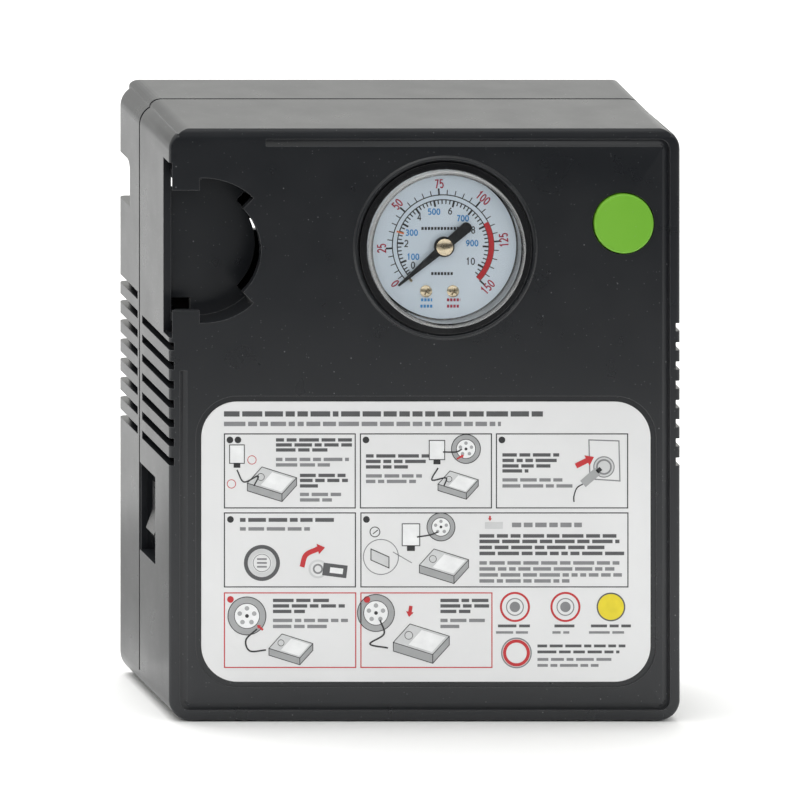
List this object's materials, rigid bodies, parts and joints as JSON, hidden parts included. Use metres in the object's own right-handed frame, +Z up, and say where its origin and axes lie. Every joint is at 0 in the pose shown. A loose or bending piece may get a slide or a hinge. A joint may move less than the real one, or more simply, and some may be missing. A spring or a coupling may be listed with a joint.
{
  "type": "portable tire inflator",
  "caption": "Upright black 12 V tyre inflator case with pressure gauge, green deflate button, rocker switch and bayonet bottle socket.",
  "frame": {"origin": "middle of the bottom face on which the case stands", "axes": "+Z up, -Y out of the front panel with the gauge, +X to the right seen from the front"},
  "size_m": [0.146, 0.061, 0.1692],
  "materials": {
    "case_black": "fine satin moulded ABS",
    "label_film": "printed film, satin",
    "steel_zinc": "zinc plated",
    "gauge_black": "gloss black",
    "lens_clear": "clear polished plastic",
    "dial_white": "printed satin white",
    "brass_bright": "turned brass",
    "pointer_black": "satin black",
    "bronze": "sintered or drawn bronze",
    "button_green": "satin green moulded plastic",
    "switch_black": "satin black",
    "rocker_black": "semi-gloss black",
    "ferrite": "matt ferrite",
    "nylon_white": "natural nylon",
    "carbon": "matt carbon",
    "steel_bright": "ground",
    "steel_laminated": "laminated core",
    "copper": "enamelled copper",
    "aluminium_cast": "die cast",
    "aluminium_turned": "turned",
    "seal_rubber": "smooth",
    "hose_rubber": "matt",
    "gland_rubber": "matt",
    "wire_red": "PVC insulation"
  },
  "bodies": {
    "housing": {"front_shell": "case_black", "rear_shell": "case_black", "front_label": "label_film", "case_screws": "steel_zinc", "gauge_case": "gauge_black", "gauge_lens": "lens_clear", "gauge_dial": "dial_white", "dial_screws": "brass_bright", "pointer_stop": "brass_bright", "bourdon_tube": "bronze", "gauge_stem": "brass_bright", "button_spring": "steel_zinc", "valve_body": "brass_bright", "switch_body": "switch_black", "switch_terminals": "brass_bright", "motor_can": "steel_zinc", "motor_magnets": "ferrite", "motor_end_cap": "nylon_white", "motor_bushes": "bronze", "motor_brushes": "carbon", "motor_terminals": "brass_bright", "motor_screws": "steel_zinc", "frame_plate": "aluminium_cast", "crank_bush": "bronze", "cylinder": "aluminium_cast", "valve_plate": "steel_bright", "cylinder_head": "aluminium_cast", "head_screws": "steel_zinc", "air_manifold": "brass_bright", "head_hose": "hose_rubber", "valve_hose": "hose_rubber", "outlet_hose": "hose_rubber", "outlet_barb": "brass_bright", "cord_gland": "gland_rubber", "wiring": "wire_red"},
    "pointer": {"gauge_pointer": "pointer_black", "pointer_shaft": "brass_bright"},
    "button": {"deflate_button": "button_green", "valve_plunger": "steel_zinc"},
    "rocker": {"switch_rocker": "rocker_black"},
    "rotor": {"motor_shaft": "steel_bright", "motor_armature": "steel_laminated", "armature_windings": "copper", "commutator": "copper", "motor_pinion": "brass_bright"},
    "crank": {"drive_gear": "nylon_white", "crank_shaft": "steel_bright", "shaft_clip": "steel_zinc"},
    "piston_set": {"piston": "aluminium_turned", "piston_seal": "seal_rubber", "wrist_pin": "steel_bright"},
    "rod": {"connecting_rod": "aluminium_cast", "rod_bearing": "steel_bright", "crank_pin": "steel_bright"}
  },
  "joints": [
    {"name": "button_press", "type": "slide", "parent": "housing", "child": "button", "axis": [0, 1, 0], "range_m": [0, 0.0025], "stiffness_N_per_m": 400, "springref_m": -0.003, "deforming": ["button_spring"]},
    {"name": "switch_rock", "type": "hinge", "parent": "housing", "child": "rocker", "pos_m": [-0.0678, -0.00375, 0.0531], "axis": [0, -1, 0], "range_deg": [0, 20]},
    {"name": "gauge_sweep", "type": "hinge", "parent": "housing", "child": "pointer", "pos_m": [0.0058, -0.0275, 0.1352], "axis": [0, 1, 0], "range_deg": [0, 264], "stiffness_Nm_per_rad": 0.0001},
    {"name": "crank_spin", "type": "hinge", "parent": "housing", "child": "crank", "pos_m": [0.0085, 0, 0.07], "axis": [0, 0, 1], "continuous": true},
    {"name": "rotor_spin", "type": "hinge", "parent": "housing", "child": "rotor", "pos_m": [0.035, 0, 0.04], "axis": [0, 0, 1], "continuous": true},
    {"name": "piston_stroke", "type": "slide", "parent": "housing", "child": "piston_set", "axis": [1, 0, 0], "range_m": [0, 0.01]},
    {"name": "rod_swing", "type": "hinge", "parent": "piston_set", "child": "rod", "pos_m": [-0.0325, 0, 0.0799], "axis": [0, 0, 1], "range_deg": [-8, 8]}
  ],
  "couplings": [
    {"joint": "rotor_spin", "follows": "crank_spin", "ratio": -4.8889}
  ]
}
